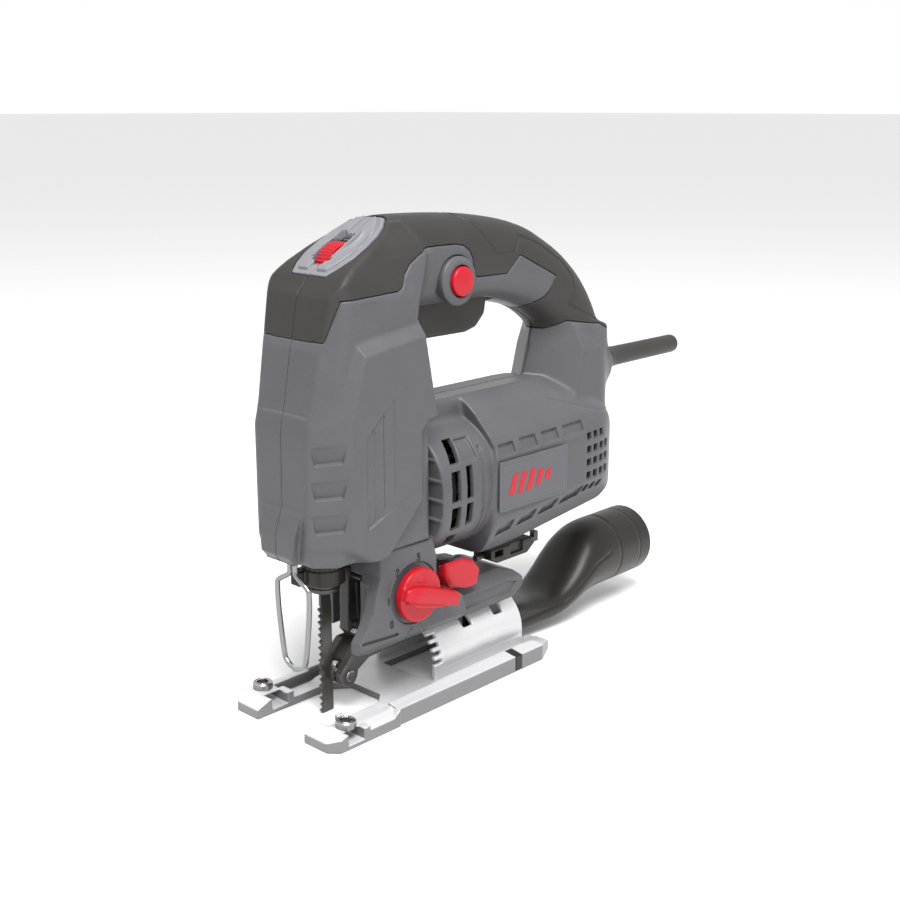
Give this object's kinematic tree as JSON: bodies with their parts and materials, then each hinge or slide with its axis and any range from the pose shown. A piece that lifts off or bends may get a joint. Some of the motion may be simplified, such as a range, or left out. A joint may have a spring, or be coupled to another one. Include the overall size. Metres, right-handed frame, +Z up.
{
  "type": "jigsaw",
  "caption": "Corded pendulum jigsaw with a bow handle, speed dial, orbital knob, tilting sole plate, tool-free blade clamp and dust tube.",
  "frame": {"origin": "on the sole, on the centre line, under the cross web of the sole plate", "axes": "+X cutting direction, +Y the tool's left side, +Z up from the sole"},
  "size_m": [0.2878, 0.07, 0.2184],
  "materials": {
    "grey_plastic": "fine moulded texture",
    "light_grey_plastic": "smooth moulded",
    "soft_grip": "matt overmoulded rubber",
    "black_plastic": "satin moulded",
    "red_plastic": "semi-gloss",
    "dark_label": "blank printed plate",
    "cast_alloy": "cast and polished",
    "pressed_alloy": "bright pressed sheet",
    "bright_steel": "turned",
    "dark_steel": "black oxide",
    "blade_steel": "tempered",
    "chrome_wire": "polished",
    "sintered_bronze": "sintered",
    "copper": "turned",
    "lamination_steel": "stacked laminations",
    "cable_rubber": "matt"
  },
  "bodies": {
    "base": {"sole_plate": "cast_alloy", "fence_screw_left": "bright_steel", "fence_screw_right": "bright_steel", "saddle": "pressed_alloy"},
    "housing": {"housing_left": "grey_plastic", "housing_right": "grey_plastic", "grip_left": "soft_grip", "grip_right": "soft_grip", "gear_case": "grey_plastic", "dial_bezel": "light_grey_plastic", "chin_insert": "black_plastic", "lock_ring": "grey_plastic", "label_plate": "dark_label", "key_clip": "black_plastic", "strain_relief": "cable_rubber", "wire_guard": "chrome_wire", "housing_screw_1": "dark_steel", "housing_screw_2": "dark_steel", "housing_screw_3": "dark_steel", "housing_screw_4": "dark_steel", "housing_screw_5": "dark_steel", "housing_screw_6": "dark_steel", "gear_frame": "cast_alloy", "gear_post": "bright_steel", "bush_upper": "sintered_bronze", "bush_lower": "sintered_bronze", "bearing_front": "bright_steel", "bearing_rear": "bright_steel", "field_stator": "lamination_steel", "brush_holder_left": "sintered_bronze", "brush_holder_right": "sintered_bronze", "switch_module": "black_plastic", "speed_board": "black_plastic", "bevel_bolt": "bright_steel"},
    "armature": {"armature_shaft": "bright_steel", "armature_core": "lamination_steel", "commutator": "copper", "cooling_fan": "black_plastic"},
    "crank_gear": {"drive_gear": "bright_steel", "crank_pin": "bright_steel"},
    "plunger": {"plunger": "bright_steel", "scotch_yoke": "dark_steel", "blade_clamp": "dark_steel", "blade": "blade_steel"},
    "clamp_collar": {"clamp_collar": "black_plastic"},
    "roller_carrier": {"roller_carrier": "dark_steel", "roller_pin": "bright_steel"},
    "guide_roller": {"guide_roller": "bright_steel"},
    "rocker": {"rocker": "black_plastic"},
    "orbital_knob": {"orbital_knob": "red_plastic", "orbital_cam": "bright_steel"},
    "bevel_lever": {"bevel_lever": "red_plastic"},
    "trigger": {"trigger": "black_plastic"},
    "lock_button": {"lock_button": "red_plastic"},
    "speed_dial": {"speed_dial": "red_plastic"},
    "dust_tube": {"dust_tube": "black_plastic"},
    "hex_key": {"hex_key": "dark_steel"}
  },
  "joints": [
    {"name": "bevel_tilt", "type": "hinge", "parent": "base", "child": "housing", "pos_m": [0, 0, 0.012], "axis": [1, 0, 0], "range_deg": [-45, 45]},
    {"name": "armature_spin", "type": "hinge", "parent": "housing", "child": "armature", "pos_m": [-0.06, 0, 0.095], "axis": [1, 0, 0], "continuous": true},
    {"name": "drive_gear_spin", "type": "hinge", "parent": "housing", "child": "crank_gear", "pos_m": [0.012, 0, 0.1238], "axis": [1, 0, 0], "continuous": true},
    {"name": "plunger_stroke", "type": "slide", "parent": "housing", "child": "plunger", "axis": [0, 0, 1], "range_m": [-0.018, 0]},
    {"name": "collar_twist", "type": "hinge", "parent": "plunger", "child": "clamp_collar", "pos_m": [0.037, 0, 0.067], "axis": [0, 0, 1], "range_deg": [0, 40], "stiffness_Nm_per_rad": 0.02, "springref_deg": -5.73},
    {"name": "carrier_slide", "type": "slide", "parent": "housing", "child": "roller_carrier", "axis": [1, 0, 0], "range_m": [-0.002, 0]},
    {"name": "roller_spin", "type": "hinge", "parent": "roller_carrier", "child": "guide_roller", "pos_m": [0.03, 0, 0.0175], "axis": [0, 1, 0], "continuous": true},
    {"name": "rocker_swing", "type": "hinge", "parent": "housing", "child": "rocker", "pos_m": [0.022, 0, 0.062], "axis": [0, 1, 0], "range_deg": [0, 2.65]},
    {"name": "orbital_turn", "type": "hinge", "parent": "housing", "child": "orbital_knob", "pos_m": [0.005, 0.028, 0.054], "axis": [0, 1, 0], "range_deg": [-70, 35]},
    {"name": "lever_turn", "type": "hinge", "parent": "housing", "child": "bevel_lever", "pos_m": [-0.038, 0, 0.049], "axis": [0, 0, 1], "range_deg": [0, 40]},
    {"name": "trigger_pull", "type": "hinge", "parent": "housing", "child": "trigger", "pos_m": [-0.014, 0, 0.18], "axis": [0, 1, 0], "range_deg": [0, 7], "stiffness_Nm_per_rad": 0.8, "springref_deg": -5.73},
    {"name": "lock_press", "type": "slide", "parent": "housing", "child": "lock_button", "axis": [0, -1, 0], "range_m": [0, 0.003], "stiffness_N_per_m": 300, "springref_m": -0.001},
    {"name": "dial_turn", "type": "hinge", "parent": "housing", "child": "speed_dial", "pos_m": [0.0233, 0, 0.1963], "axis": [0, 1, 0], "range_deg": [-135, 135]},
    {"name": "tube_pull", "type": "slide", "parent": "base", "child": "dust_tube", "axis": [-1, 0, 0], "range_m": [0, 0.06]},
    {"name": "key_pull", "type": "slide", "parent": "housing", "child": "hex_key", "axis": [-1, 0, 0], "range_m": [0, 0.045]}
  ],
  "couplings": [
    {"joint": "drive_gear_spin", "follows": "armature_spin", "ratio": -0.2},
    {"joint": "rocker_swing", "follows": "carrier_slide", "rad_per_m": -22.7}
  ]
}
